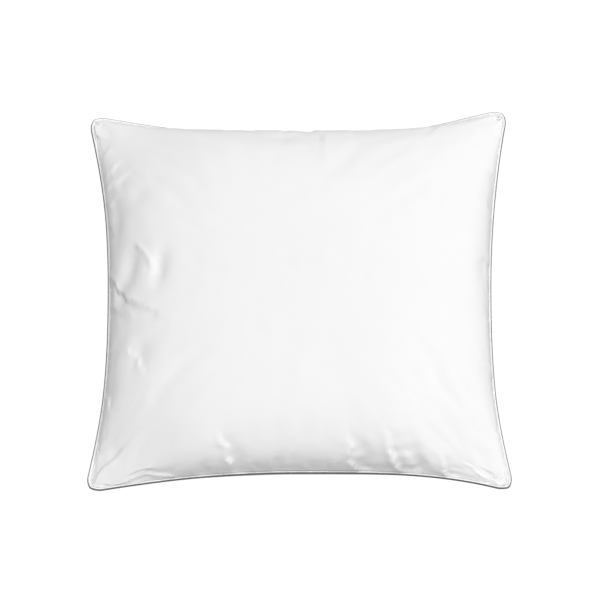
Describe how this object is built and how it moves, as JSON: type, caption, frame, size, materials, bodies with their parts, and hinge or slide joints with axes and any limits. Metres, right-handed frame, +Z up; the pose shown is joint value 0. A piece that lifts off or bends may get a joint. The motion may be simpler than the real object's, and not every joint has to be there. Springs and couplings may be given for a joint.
{
  "type": "bed pillow",
  "caption": "Square 26 in bed pillow in a white percale casing with thin piped side seams, polyester filling and a sewn-in blank label.",
  "frame": {"origin": "middle of the box's underside, on the surface the pillow rests on", "axes": "+Z up through the crown; X along the near and far seams; +Y towards the far seam that carries the label"},
  "size_m": [0.65, 0.65, 0.176],
  "materials": {
    "percale": "matte plain-weave cotton with a slight sheen",
    "piping_satin": "satin-weave bias strip",
    "cord_cotton": "twisted cotton filler cord",
    "polyester_fill": "matte fibre",
    "thread": "spun polyester thread",
    "label_tape": "woven satin tape"
  },
  "bodies": {
    "root": {"top_panel": "percale", "bottom_panel": "percale", "piping_cover": "piping_satin", "piping_cord": "cord_cotton", "fill": "polyester_fill", "seam_needle_thread": "thread", "seam_bobbin_thread": "thread", "overlock_thread": "thread", "closing_stitches": "thread"},
    "label": {"care_label": "label_tape"}
  },
  "joints": [
    {"name": "label_flip", "type": "hinge", "parent": "root", "child": "label", "pos_m": [-0.13, 0.30199, 0.084], "axis": [1, 0, 0], "range_deg": [-20, 110]}
  ]
}
